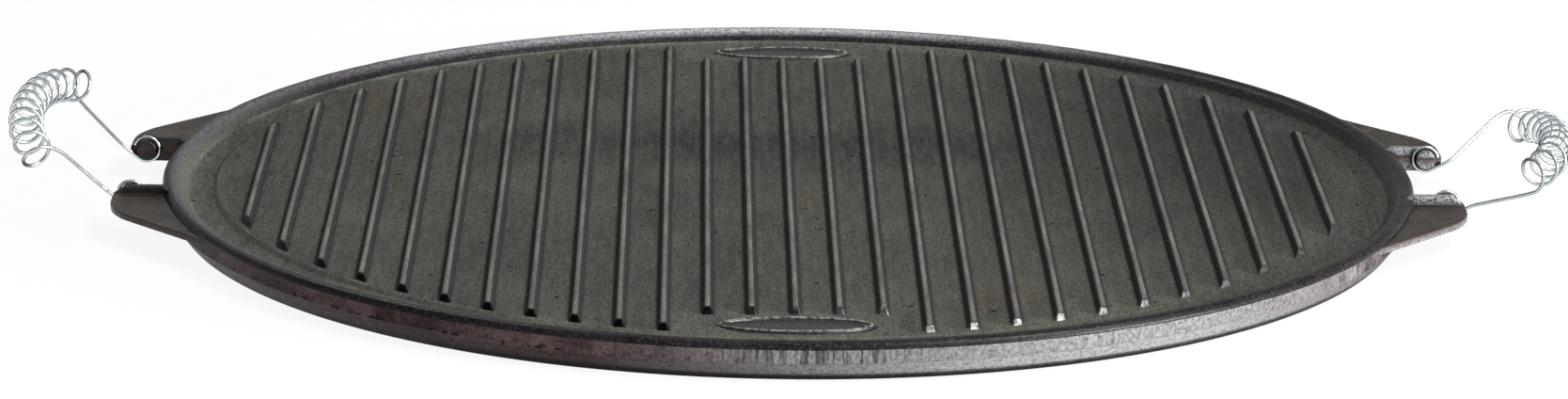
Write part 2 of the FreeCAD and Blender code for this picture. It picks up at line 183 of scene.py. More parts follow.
# Studio, in metres: share of the floor that always shows white; the sky as light and as seen in a gloss; and
# the white share of what a gloss sees low down and high up
FLOOR_REACH = 8.0
FLOOR_PALE = (0.82, 0.82, 0.82, 1.0)
FLOOR_WHITE = 0.91
SKY_COLOUR = (0.94, 0.96, 1.0, 1.0)
SKY_LIGHT = 0.15
SKY_DARK = 0.08
SKY_LOW = 0.4
SKY_HIGH = 0.04
# Lamps: name, place, width, height, watts, colour
LAMPS = (
    ("key", (1.37, -0.96, 1.99), 0.6, 0.6, 57.0, (1.0, 0.99, 0.98)),
    ("low", (2.1, -1.15, 0.45), 0.9, 0.22, 100.0, (1.0, 0.99, 0.98)),
    ("back", (-0.75, 1.2, 1.5), 0.7, 0.35, 6.0, (1.0, 1.0, 1.0)),
    ("top", (-0.2, 0.5, 2.0), 1.8, 1.8, 7.0, (1.0, 1.0, 1.0)),
)


def paint(red, green, blue):
    """A colour written as it is seen, 0 to 255, as the linear values that a shader takes."""

    def linear(value):
        part = value / 255
        return part / 12.92 if part <= 0.04045 else ((part + 0.055) / 1.055) ** 2.4
    return linear(red), linear(green), linear(blue), 1.0


# Colours of all the iron: specks, and painted shade for corners
SPECK = paint(16, 15, 15)
CORNER_SHADE = paint(8, 7, 7)
# Cooking face
FACE_DARK, FACE_LIGHT = paint(76, 79, 75), paint(92, 92, 85)
FACE_BROWN = paint(86, 76, 66)
FACE_BLUE = paint(46, 52, 55)
FACE_STREAK = paint(116, 115, 108)
FACE_SHADE = paint(44, 48, 48)
FACE_PIT = paint(20, 18, 17)
# Ribs and ovals; the flanks, the left rib ends and the ovals' foot are painted shade, and the right rib ends
# painted light
CROWN_DARK, CROWN_LIGHT = paint(88, 88, 81), paint(120, 118, 108)
FLANK_SHADE = paint(44, 42, 46)
END_SHADE = paint(26, 24, 24)
END_LIT_DARK, END_LIT_LIGHT = paint(76, 75, 74), paint(140, 139, 138)
PANEL_DARK, PANEL_LIGHT = paint(14, 14, 13), paint(40, 40, 37)
BORDER_CREST = paint(142, 142, 139)
BORDER_FOOT_SHADE = paint(6, 6, 6)
# Rim; the faint and bright colours are painted highlights, and the lighter grey at the left end a painted
# sheen
RIM_DARK, RIM_LIGHT = paint(14, 13, 14), paint(30, 27, 29)
RIM_FAINT_HIGHLIGHT = paint(100, 96, 102)
RIM_HIGHLIGHT = paint(196, 194, 200)
RIM_FLECK = paint(96, 93, 98)
RIM_SHEEN = paint(84, 83, 77)
# Side; the bright ground colours are partly a painted highlight
SIDE_DARK, SIDE_LIGHT = paint(66, 51, 52), paint(110, 90, 91)
SIDE_LOWER = paint(62, 48, 49)
STEP_RUST = paint(24, 10, 10)
GROUND_BASE = paint(56, 55, 57)
GROUND_LIT_LOWER = paint(166, 166, 169)
GROUND_LIT_UPPER = paint(146, 145, 147)
STRUCK_LIGHT, STRUCK_DARK = paint(136, 136, 139), paint(44, 43, 46)
# Lugs; the walls are painted near black as shade, and the bare metal and edges of the right ones are partly
# painted light
LUG_TOP_DARK, LUG_TOP_LIGHT = paint(36, 31, 27), paint(62, 54, 44)
LUG_WALL_SHADE_DARK, LUG_WALL_SHADE_LIGHT = paint(12, 11, 11), paint(30, 28, 28)
LUG_BARE_LIT = paint(150, 150, 153)
LUG_RUST_DARK, LUG_RUST_LIGHT = paint(30, 16, 15), paint(66, 34, 30)
LUG_LIT_EDGE = paint(66, 52, 54)
# Underside and wire; the wire's outline colour is a painted reflection
UNDER_DARK, UNDER_LIGHT = paint(46, 44, 44), paint(74, 71, 68)
UNDER_RUST = paint(84, 58, 46)
ZINC_DARK, ZINC_LIGHT = paint(196, 208, 212), paint(232, 238, 240)
ZINC_EDGE_REFLECTION = paint(20, 40, 46)
ZINC_TINT = paint(70, 96, 102)

# Soft patches on the casting: middle, radii
BLUE_PATCH = ((-12, 48, 10), (135, 42, 60))
SHADE_PATCH = ((165, 50, 10), (170, 220, 60))
RIM_HIGHLIGHT_PATCH = ((-10, 225, 10), (170, 200, 400))
RIM_FAINT_HIGHLIGHT_PATCH = ((-190, 80, 10), (270, 330, 400))
RIM_SHEEN_PATCH = ((-225, -30, 10), (190, 170, 200))
GROUND_AND_HIGHLIGHT_PATCH = ((98, -192, 10), (164, 150, 200))
STRUCK_FRONT = ((8, -214, 10), (46, 40, 60))
STRUCK_RIGHT = ((192, -96, 10), (40, 44, 60))
PATCH_CORE = 0.2
# Where the lugs turn across from the left ones' look, in painted shade, to the right ones', in painted light
LUG_LIT_TURN = (150, 190)

# Skin of all the iron: corners get painted shade within a reach, as less light gets into them, and the
# specks' share
CORNER_SHADE_REACH = 3.0
CORNER_SHADE_LEVELS = (0.55, 0.84)
CORNER_SHADE_SHARE = 0.97
SPECK_SHARE = 0.5
ROUGHNESS_SPREAD = 0.12
# The noise levels between which one of two clouded colours gives way to the other
CLOUD_LEVELS = (0.35, 0.65)


# Shader nodes

def add_node(tree, kind, inputs=None, **settings):
    """A new node; an input that is a socket is linked, and any other is set."""
    item = tree.nodes.new(kind)
    for name, value in settings.items():
        setattr(item, name, value)
    for name, value in (inputs or {}).items():
        feed(tree, item.inputs[name], value)
    return item


def feed(tree, socket, value):
    """Links a socket to another, or sets it to a value."""
    if isinstance(value, bpy.types.NodeSocket):
        tree.links.new(value, socket)
    else:
        socket.default_value = value


def math_node(tree, operation, first, second=0.0):
    return add_node(tree, "ShaderNodeMath", {0: first, 1: second}, operation=operation).outputs[0]


def times(tree, first, second):
    return math_node(tree, "MULTIPLY", first, second)


def span(tree, value, low, high, start=0.0, end=1.0):
    """The value brought from one range to another, without going past its ends."""
    return add_node(tree, "ShaderNodeMapRange", {"Value": value, "From Min": low, "From Max": high,
                                                 "To Min": start, "To Max": end}).outputs["Result"]


def mix(tree, share, first, second):
    """The first colour, or by its share the second."""
    item = add_node(tree, "ShaderNodeMix", data_type="RGBA")
    for number, value in ((0, share), (6, first), (7, second)):
        feed(tree, item.inputs[number], value)
    return item.outputs[2]


def clouded(tree, cloud, first, second):
    """Two colours that run into each other with a noise."""
    return mix(tree, span(tree, cloud, *CLOUD_LEVELS), first, second)


def speckle(tree, place, scale, detail=2.0, rough=0.5):
    """Noise from 0 to 1; the scale is in waves per metre."""
    return add_node(tree, "ShaderNodeTexNoise", {"Vector": place, "Scale": scale, "Detail": detail,
                                                 "Roughness": rough}).outputs["Fac"]


def stretched(tree, place, across, along, up):
    """A place whose coordinates are scaled, so that a noise on it is drawn out where the factor is small."""
    return add_node(tree, "ShaderNodeMapping", {"Vector": place, "Scale": (across, along, up)}).outputs[0]


def new_material(name):
    material = bpy.data.materials.new(name)
    material.use_nodes = True
    tree = material.node_tree
    tree.nodes.clear()
    shader = add_node(tree, "ShaderNodeBsdfPrincipled")
    add_node(tree, "ShaderNodeOutputMaterial", {"Surface": shader.outputs[0]})
    place = add_node(tree, "ShaderNodeTexCoord").outputs["Object"]
    return material, tree, shader, place


def painted_corner_shade(tree):
    """1 in the open and 0 deep in a corner, where shade is painted in."""
    dark = add_node(tree, "ShaderNodeAmbientOcclusion", {"Distance": CORNER_SHADE_REACH * MM}, samples=8)
    return dark.outputs["AO"]


def split(tree, place):
    """The three coordinates of a place, in millimetres."""
    parts = add_node(tree, "ShaderNodeSeparateXYZ", {"Vector": place}).outputs
    return [times(tree, part, 1 / MM) for part in parts]


def patch(tree, place, middle, radii):
    """1 in the middle of a soft round patch, fading to 0 at its edge; both are in millimetres."""
    shift = add_node(tree, "ShaderNodeMapping", {"Vector": place, "Location": Vector(middle) * MM},
                     vector_type="TEXTURE")
    scale = add_node(tree, "ShaderNodeMapping", {"Vector": shift.outputs[0],
                                                 "Scale": [1 / (size * MM) for size in radii]})
    away = add_node(tree, "ShaderNodeVectorMath", {0: scale.outputs[0]}, operation="LENGTH").outputs["Value"]
    return span(tree, away, PATCH_CORE, 1.0, 1.0, 0.0)


def facing_up(tree):
    """1 on level surfaces and 0 on upright ones."""
    normal = add_node(tree, "ShaderNodeNewGeometry").outputs["True Normal"]
    return add_node(tree, "ShaderNodeSeparateXYZ", {"Vector": normal}).outputs["Z"]


def iron_skin(tree, shader, place, body, roughness, grain, specular, fine=900.0):
    """Black specks, painted shade in crevices, roughness and the sandy relief that all the iron shares; grain
    is its depth.
    """
    grit = speckle(tree, place, fine, 3.0, 0.62)
    pits = speckle(tree, place, fine * 0.35)
    body = mix(tree, span(tree, grit, 0.34, 0.56, SPECK_SHARE, 0.0), body, SPECK)
    # painted shade: corners darken towards near black, as less light gets into them
    body = mix(tree, span(tree, painted_corner_shade(tree), *CORNER_SHADE_LEVELS, CORNER_SHADE_SHARE, 0.0), body, CORNER_SHADE)
    rough = span(tree, grit, 0.35, 0.7, roughness + ROUGHNESS_SPREAD, roughness - ROUGHNESS_SPREAD)
    height = math_node(tree, "ADD", times(tree, grit, 0.6), times(tree, pits, 0.4))
    bump = add_node(tree, "ShaderNodeBump", {"Height": height, "Strength": 1.0, "Distance": grain * MM})
    tree.links.new(body, shader.inputs["Base Color"])
    tree.links.new(rough, shader.inputs["Roughness"])
    tree.links.new(bump.outputs[0], shader.inputs["Normal"])
    shader.inputs["Specular IOR Level"].default_value = specular


# Materials

def iron_face():
    """Oiled cooking face: grey-green, with brown and blue clouds, faint streaks along the ribs and pits."""
    material, tree, shader, place = new_material("iron_face")
    cloud = speckle(tree, stretched(tree, place, 1.0, 0.6, 1.0), 30.0, 4.0, 0.6)
    streak = speckle(tree, stretched(tree, place, 1.0, 0.12, 1.0), 560.0, 3.0, 0.65)
    brown = speckle(tree, place, 17.0, 3.0, 0.55)
    pit = speckle(tree, place, 260.0)
    body = clouded(tree, cloud, FACE_DARK, FACE_LIGHT)
    body = mix(tree, span(tree, brown, 0.5, 0.68, 0.0, 0.4), body, FACE_BROWN)
    body = mix(tree, times(tree, patch(tree, place, *BLUE_PATCH), 0.65), body, FACE_BLUE)
    body = mix(tree, span(tree, streak, 0.45, 0.66, 0.0, 0.3), body, FACE_STREAK)
    body = mix(tree, times(tree, patch(tree, place, *SHADE_PATCH), 0.5), body, FACE_SHADE)
    body = mix(tree, span(tree, pit, 0.24, 0.3, 0.9, 0.0), body, FACE_PIT)
    iron_skin(tree, shader, stretched(tree, place, 1.0, 0.35, 1.0), body, roughness=0.6, grain=0.14,
              specular=0.0, fine=1300.0)
    return material


def iron_ribs():
    """Ribs: lighter along the crown, partly rubbed and partly painted light, and painted shade down the
    flanks.
    """
    material, tree, shader, place = new_material("iron_ribs")
    up = split(tree, place)[2]
    cloud = speckle(tree, stretched(tree, place, 1.0, 0.25, 1.0), 140.0, 4.0, 0.65)
    crown = clouded(tree, cloud, CROWN_DARK, CROWN_LIGHT)
    # painted light on the level crown and painted shade on the flanks, by height and by how level the surface
    # is
    crown_worn_and_lit = times(tree, span(tree, up, FACE_HEIGHT + 1.4, FACE_HEIGHT + RIB_HEIGHT - 0.1),
                   span(tree, facing_up(tree), 0.85, 0.99))
    body = mix(tree, crown_worn_and_lit, FLANK_SHADE, crown)
    iron_skin(tree, shader, place, body, roughness=0.5, grain=0.1, specular=0.05)
    return material


def iron_rib_ends():
    """Sloping ends of the ribs: painted shade makes them black on the left, and painted light makes them a
    light metal on the right.
    """
    material, tree, shader, place = new_material("iron_rib_ends")
    across = split(tree, place)[0]
    lit_metal = clouded(tree, speckle(tree, place, 700.0, 3.0, 0.6), END_LIT_DARK, END_LIT_LIGHT)
    # painted shade on the left ends, fading across to painted light on the right ones
    body = mix(tree, span(tree, across, -25.0, 45.0), END_SHADE, lit_metal)
    shader.inputs["Metallic"].default_value = 1.0
    iron_skin(tree, shader, place, body, roughness=0.42, grain=0.12, specular=0.5)
    return material


def iron_mark():
    """Ovals: black panel in a raised border whose crest is rubbed bright in flecks, with painted shade along
    its foot.
    """
    material, tree, shader, place = new_material("iron_mark")
    up = split(tree, place)[2]
    fleck = speckle(tree, place, 700.0, 3.0, 0.6)
    crest = times(tree, span(tree, up, FACE_HEIGHT + 0.6, FACE_HEIGHT + 0.98), span(tree, fleck, 0.4, 0.56))
    body = mix(tree, crest, clouded(tree, fleck, PANEL_DARK, PANEL_LIGHT), BORDER_CREST)
    # painted shade: a black line along the foot of the border
    body = mix(tree, span(tree, up, FACE_HEIGHT + 0.16, FACE_HEIGHT + 0.1), body, BORDER_FOOT_SHADE)
    iron_skin(tree, shader, place, body, roughness=0.3, grain=0.2, specular=0.6)
    return material


def iron_bead():
    """Rim: near black and gritty, with a painted highlight along its shoulder at the back, fainter at the
    left, and a painted sheen at the left end.
    """
    material, tree, shader, place = new_material("iron_bead")
    across, along, _ = split(tree, place)
    away = math_node(tree, "SQRT", math_node(tree, "ADD", math_node(tree, "POWER", across, 2.0),
                                             math_node(tree, "POWER", along, 2.0)))
    fleck = speckle(tree, place, 1100.0, 2.0, 0.6)
    shoulder = times(tree, span(tree, away, RIM_RADIUS - 2.0, RIM_RADIUS - 3.4),
                     span(tree, away, RIM_RADIUS - 7.2, RIM_RADIUS - 5.0))
    crest = times(tree, shoulder, span(tree, fleck, 0.4, 0.6, 0.4, 1.0))
    rim_sheen = times(tree, span(tree, away, RIM_RADIUS - 4.0, RIM_RADIUS - 6.5),
                  patch(tree, place, *RIM_SHEEN_PATCH))
    body = clouded(tree, speckle(tree, place, 45.0, 4.0, 0.6), RIM_DARK, RIM_LIGHT)
    # painted highlights along the shoulder: faint at the left and back, bright at the back
    body = mix(tree, times(tree, crest, patch(tree, place, *RIM_FAINT_HIGHLIGHT_PATCH)), body, RIM_FAINT_HIGHLIGHT)
    body = mix(tree, times(tree, crest, patch(tree, place, *RIM_HIGHLIGHT_PATCH)), body, RIM_HIGHLIGHT)
    body = mix(tree, span(tree, fleck, 0.5, 0.66, 0.0, 0.25), body, RIM_FLECK)
    # painted sheen on the inner slope at the left end
    body = mix(tree, rim_sheen, body, RIM_SHEEN)
    iron_skin(tree, shader, place, body, roughness=0.34, grain=0.22, specular=0.15)
    return material


def iron_side():
    """Outside: purple-brown, with rust along the step, a long stretch at the front right that is ground and
    also painted bright as a highlight, and two struck spots.
    """
    material, tree, shader, place = new_material("iron_side")
    up = split(tree, place)[2]
    cloud = speckle(tree, place, 60.0, 4.0, 0.6)
    dash = speckle(tree, stretched(tree, place, 1.0, 1.0, 1.6), 300.0, 3.0, 0.65)
    stroke = speckle(tree, stretched(tree, place, 1.0, 1.0, 0.12), 760.0, 3.0, 0.7)
    gouge = speckle(tree, stretched(tree, place, 1.0, 1.0, 0.3), 210.0, 3.0, 0.6)
    grain = speckle(tree, place, 700.0, 3.0, 0.65)
    body = clouded(tree, cloud, SIDE_DARK, SIDE_LIGHT)
    body = mix(tree, span(tree, up, BAND_HEIGHT, BAND_HEIGHT - 0.6, 0.0, 0.8), body, SIDE_LOWER)

    line = times(tree, span(tree, up, BAND_HEIGHT - 2.6, BAND_HEIGHT - 0.6),
                 span(tree, up, BAND_HEIGHT + 2.6, BAND_HEIGHT + 0.6))
    body = mix(tree, times(tree, line, span(tree, dash, 0.52, 0.6, 0.0, 0.9)), body, STEP_RUST)

    # ground metal and painted highlight: the side facing the right front is painted bright
    ground_and_highlight = patch(tree, place, *GROUND_AND_HIGHLIGHT_PATCH)
    lower = times(tree, ground_and_highlight, span(tree, grain, 0.3, 0.7, 0.7, 1.0))
    upper = times(tree, ground_and_highlight, span(tree, grain, 0.3, 0.7, 0.4, 1.0))
    below = span(tree, up, BAND_HEIGHT + 0.2, BAND_HEIGHT - 0.2)
    above = span(tree, up, BAND_HEIGHT - 0.2, BAND_HEIGHT + 0.2)
    body = mix(tree, ground_and_highlight, body, GROUND_BASE)
    body = mix(tree, times(tree, lower, below), body, GROUND_LIT_LOWER)
    body = mix(tree, times(tree, upper, above), body, GROUND_LIT_UPPER)

    step = span(tree, up, BAND_HEIGHT - 1.2, BAND_HEIGHT + 0.6)
    for spot, scar in ((STRUCK_FRONT, stroke), (STRUCK_RIGHT, gouge)):
        struck = times(tree, patch(tree, place, *spot), step)
        body = mix(tree, times(tree, struck, span(tree, scar, 0.5, 0.62, 0.0, 0.8)), body, STRUCK_LIGHT)
        body = mix(tree, times(tree, struck, span(tree, scar, 0.5, 0.38, 0.0, 0.8)), body, STRUCK_DARK)
    iron_skin(tree, shader, place, body, roughness=0.4, grain=0.28, specular=0.05)
    return material


def iron_lug():
    """Lugs: olive-brown top, rusty edges and walls painted near black as shade, with bare metal on the right
    ones that is partly a painted highlight.
    """
    material, tree, shader, place = new_material("iron_lug")
    across, _, up = split(tree, place)
    cloud = speckle(tree, place, 90.0, 4.0, 0.6)
    fleck = speckle(tree, place, 1300.0, 3.0, 0.65)
    top = clouded(tree, cloud, LUG_TOP_DARK, LUG_TOP_LIGHT)
    # painted light: bright bare flecks on the right lugs' walls, partly bare metal
    bare_and_lit = times(tree, span(tree, across, *LUG_LIT_TURN), span(tree, fleck, 0.36, 0.52))
    bare_and_lit = times(tree, bare_and_lit, span(tree, facing_up(tree), -0.6, -0.2))
    wall = mix(tree, bare_and_lit, clouded(tree, cloud, LUG_WALL_SHADE_DARK, LUG_WALL_SHADE_LIGHT), LUG_BARE_LIT)
    edge = mix(tree, span(tree, cloud, 0.4, 0.6), LUG_RUST_DARK, LUG_RUST_LIGHT)
    # the right lugs' edges are painted lighter, as lit; the left ones stay rusty
    edge = mix(tree, span(tree, across, *LUG_LIT_TURN), edge, LUG_LIT_EDGE)
    side = mix(tree, span(tree, up, SHELF_TOP - 3.0, SHELF_TOP), wall, edge)
    body = mix(tree, span(tree, facing_up(tree), 0.5, 0.85), side, top)
    body = mix(tree, span(tree, up, SHELF_TOP + 0.2, SHELF_TOP + 1.0), body, wall)
    iron_skin(tree, shader, place, body, roughness=0.38, grain=0.22, specular=0.35)
    return material


def iron_underside():
    """Underside: plain dry casting with soot and some rust."""
    material, tree, shader, place = new_material("iron_underside")
    stain = speckle(tree, place, 70.0, 4.0, 0.6)
    body = clouded(tree, speckle(tree, place, 32.0, 5.0, 0.62), UNDER_DARK, UNDER_LIGHT)
    body = mix(tree, span(tree, stain, 0.54, 0.7, 0.0, 0.5), body, UNDER_RUST)
    iron_skin(tree, shader, place, body, roughness=0.6, grain=0.3, specular=0.25, fine=600.0)
    return material


def zinc():
    """Bright zinc plate on drawn wire, with a painted dark reflection towards its outline, as a gloss shows.
    """
    material, tree, shader, place = new_material("zinc_wire")
    cloud = speckle(tree, place, 180.0)
    outline = add_node(tree, "ShaderNodeLayerWeight", {"Blend": 0.5}).outputs["Facing"]
    # painted reflection: the colour darkens towards the outline
    body = mix(tree, span(tree, outline, 0.25, 0.6), mix(tree, cloud, ZINC_DARK, ZINC_LIGHT), ZINC_EDGE_REFLECTION)
    tree.links.new(body, shader.inputs["Base Color"])
    tree.links.new(span(tree, cloud, 0.3, 0.7, 0.26, 0.36), shader.inputs["Roughness"])
    shader.inputs["Specular Tint"].default_value = ZINC_TINT
    shader.inputs["Metallic"].default_value = 1.0
    return material


# Meshes

def new_piece(name, places, faces, materials, body, zones=None, smooth=40.0):
    """A mesh from places in millimetres, smooth but for its sharp corners, riding on its body.

    The zones say which of the materials each face has.
    """
    mesh = bpy.data.meshes.new(name)
    mesh.from_pydata([Vector(place) * MM for place in places], [], faces)
    mesh.validate()
    piece = bpy.data.objects.new(name, mesh)
    bpy.context.scene.collection.objects.link(piece)
    for material in materials:
        mesh.materials.append(material)
    if zones:
        mesh.polygons.foreach_set("material_index", zones)
    finish_mesh(mesh, smooth)
    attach(piece, body)
    return piece


def finish_mesh(mesh, smooth):
    """Turns all faces outwards, and shades them smooth up to an angle."""
    turned = bmesh.new()
    turned.from_mesh(mesh)
    bmesh.ops.recalc_face_normals(turned, faces=turned.faces)
    turned.to_mesh(mesh)
    turned.free()
    mesh.shade_smooth()
    mesh.set_sharp_from_angle(angle=math.radians(smooth))


def corner_arc(before, corner, after, steps):
    """Places on the arc that rounds a corner (across, up, radius), or the corner if it has no radius."""
    here = Vector(corner[:2])
    radius = corner[2]
    if not radius:
        return [here]
    back = (Vector(before[:2]) - here).normalized()
    on = (Vector(after[:2]) - here).normalized()
    half = back.angle(on) / 2
    centre = here + (back + on).normalized() * (radius / math.sin(half))
    first = here + back * (radius / math.tan(half)) - centre
    last = here + on * (radius / math.tan(half)) - centre
    turn = first.angle(last)
    shares = [step / steps for step in range(steps + 1)]
    return [centre + (first * math.sin((1 - share) * turn) + last * math.sin(share * turn)) / math.sin(turn)
            for share in shares]


def rounded(corners, steps):
    """Line through corners (across, up, radius), each rounded by its radius."""
    line = []
    for i, corner in enumerate(corners):
        line += corner_arc(corners[i - 1], corner, corners[(i + 1) % len(corners)], steps)
    return line


def ring_faces(count, rings):
    """Faces between rings of equally many places."""
    faces = []
    for ring in range(rings - 1):
        for i in range(count):
            on = (i + 1) % count
            low = ring * count
            faces.append((low + i, low + on, low + count + on, low + count + i))
    return faces


def fan_faces(first, count, middle):
    """Faces from a ring of places to the one in its middle."""
    return [(first + i, first + (i + 1) % count, middle) for i in range(count)]


def shifted(faces, by):
    """The same faces of places that stand further on in a list."""
    return [tuple(by + i for i in face) for face in faces]


def make_disc(materials):
    """The plate itself: standing ring, two outer bands, rounded rim, gutter and cooking face."""
    foot = RIM_RADIUS - SKIRT_INSET
    inner_foot = foot - FOOT_WIDTH
    gutter = RIM_RADIUS - BEAD_WIDTH - BEAD_SLOPE
    skin_face, skin_bead, skin_side, skin_under = range(4)
    # Radius, height, corner radius, skin from here on
    corners = (
        (UNDERSIDE_RING, FOOT_DEPTH, 0, skin_under),
        (inner_foot - FOOT_SLOPE, FOOT_DEPTH, 2.0, skin_under),
        (inner_foot, 0.0, 0.8, skin_under),
        (foot, 0.0, 0.7, skin_side),
        (RIM_RADIUS - BAND_STEP, BAND_HEIGHT - BAND_DROP, 0.3, skin_side),
        (RIM_RADIUS, BAND_HEIGHT, 0.4, skin_side),
        (RIM_RADIUS, RIM_HEIGHT, 2.4, skin_bead),
        (RIM_RADIUS - BEAD_WIDTH, RIM_HEIGHT, 4.6, skin_bead),
        (gutter, GUTTER_HEIGHT, 2.2, skin_face),
        (FACE_RADIUS + FACE_SLOPE, GUTTER_HEIGHT, 1.0, skin_face),
        (FACE_RADIUS, FACE_HEIGHT, 0.8, skin_face),
        (FACE_RINGS[0], FACE_HEIGHT, 0, skin_face),
        (FACE_RINGS[1], FACE_HEIGHT, 0, skin_face),
    )
    line, skins = [], []
    for before, corner, after in zip(corners[-1:] + corners, corners, corners[1:] + corners[:1]):
        arc = corner_arc(before, corner, after, 6)
        line += arc
        skins += [corner[3]] * len(arc)
    places = []
    for radius, up in line:
        outer = min(max((radius - EVEN_RADIUS) / (RIM_RADIUS - EVEN_RADIUS), 0.0), 1.0)
        for i in range(DISC_SEGMENTS):
            turn = math.tau * i / DISC_SEGMENTS
            seed = Vector((math.cos(turn), math.sin(turn), 0)) * RIM_WAVES
            swell = RIM_SWELL * noise.noise(seed) + RIM_RIPPLE * noise.noise(seed * 4.0 + Vector((0, 0, up)))
            reach = radius + (swell - RIM_SWELL) * outer
            lift = RIM_LIFT * noise.noise(seed * 3.0 + Vector((5.0, 0, 0))) if up > EVEN_HEIGHT else 0.0
            places.append((reach * math.cos(turn), reach * math.sin(turn), up + lift))
    faces = ring_faces(DISC_SEGMENTS, len(line))
    zones = [skin for skin in skins[:-1] for _ in range(DISC_SEGMENTS)]
    for up, ring, skin in ((FOOT_DEPTH, 0, skin_under), (FACE_HEIGHT, len(line) - 1, skin_face)):
        faces += fan_faces(ring * DISC_SEGMENTS, DISC_SEGMENTS, len(places))
        zones += [skin] * DISC_SEGMENTS
        places.append((0.0, 0.0, up))
    return new_piece("plate_disc", places, faces, materials, "plate", zones)


def softer_least(first, second, blend=0.3):
    """The lesser of two heights, rounded where they cross."""
    share = min(max(0.5 + (second - first) / (2 * blend), 0.0), 1.0)
    return second * (1 - share) + first * share - blend * share * (1 - share)


def make_rib(section, middle, reach, curved):
    """Places, faces and zones of one rib; curved ends follow the edge of the face."""
    far_rows = [(1, distance, height) for distance, height in END_LINE]
    middle_rows = [(0, share, RIB_HEIGHT) for share in MIDDLE_ROWS]
    near_rows = [(-1, distance, height) for distance, height in reversed(END_LINE)]
    places = []
    for side, value, height in far_rows + middle_rows + near_rows:
        limit = reach - (value if side else END_LINE[-1][0])
        for across, up in section:
            x = middle + across
            edge = math.sqrt(max(limit ** 2 - x ** 2, 0.0)) if curved else limit
            y = (side or value) * edge
            wander = Vector((middle * RIB_WAVES[0], y * RIB_WAVES[1], 0.0))
            x += RIB_WANDER * noise.noise(wander)
            z = up
            if side and (up > RIB_FOOT or height < up):
                z = softer_least(up, height)
            if z > RIB_CROWN:
                z += RIB_LIFT * noise.noise(wander * 1.7 + Vector((0, 0, 9.0)))
            places.append((x, y, FACE_HEIGHT + z))
    columns = len(section)
    rows = len(places) // columns
    faces, zones = [], []
    for row in range(rows - 1):
        for i in range(row * columns, (row + 1) * columns - 1):
            faces.append((i, i + 1, i + columns + 1, i + columns))
            zones.append(int(row < END_ROWS or row >= rows - 1 - END_ROWS))
    return places, faces, zones


def make_ribs(materials):
    """All the ribs: long ones on both sides of five short ones that leave room for the ovals."""
    section = rounded(RIB_CORNERS, RIB_CORNER_STEPS)
    places, faces, zones = [], [], []
    half = (SHORT_RIBS - 1) // 2
    for number in range(-half - SIDE_RIBS, half + SIDE_RIBS + 1):
        short = abs(number) <= half
        reach = SHORT_REACH if short else RIB_REACH
        more, sides, skins = make_rib(section, number * RIB_PITCH, reach, not short)
        faces += shifted(sides, len(places))
        places += more
        zones += skins
    return new_piece("ribs", places, faces, materials, "plate", zones, smooth=75.0)


def make_oval(name, side, material):
    """A raised oval border round a plain panel."""
    places = []
    for inset, up in OVAL_LINE:
        for i in range(OVAL_SEGMENTS):
            turn = math.tau * i / OVAL_SEGMENTS
            x = (OVAL_HALF_LENGTH - inset) * math.cos(turn)
            y = (OVAL_HALF_WIDTH - inset) * math.sin(turn)
            seed = Vector((x * OVAL_WAVES, y * OVAL_WAVES, side))
            lift = OVAL_LIFT * noise.noise(seed) if up > 0.3 else 0.0
            places.append((x, side * OVAL_PLACE + y, FACE_HEIGHT + up + lift))
    faces = ring_faces(OVAL_SEGMENTS, len(OVAL_LINE))
    faces += fan_faces((len(OVAL_LINE) - 1) * OVAL_SEGMENTS, OVAL_SEGMENTS, len(places))
    places.append((0.0, side * OVAL_PLACE, FACE_HEIGHT + OVAL_LINE[-1][1]))
    return new_piece(name, places, faces, [material], "plate", smooth=75.0)


def prism(outline, low, high, lay):
    """Places and faces of an outline pushed from one level to another; lay makes a place of (a, b, level)."""
    count = len(outline)
    places = [lay(a, b, low) for a, b in outline] + [lay(a, b, high) for a, b in outline]
    faces = [tuple(range(count)), tuple(range(count, 2 * count))]
    faces += [(i, (i + 1) % count, count + (i + 1) % count, count + i) for i in range(count)]
    return places, faces


def flat(a, b, level):
    """Lays an outline level, and pushes it upwards."""
    return a, b, level


def upright(a, b, level):
    """Stands an outline upright, and pushes it along Y."""
    return a, level, b


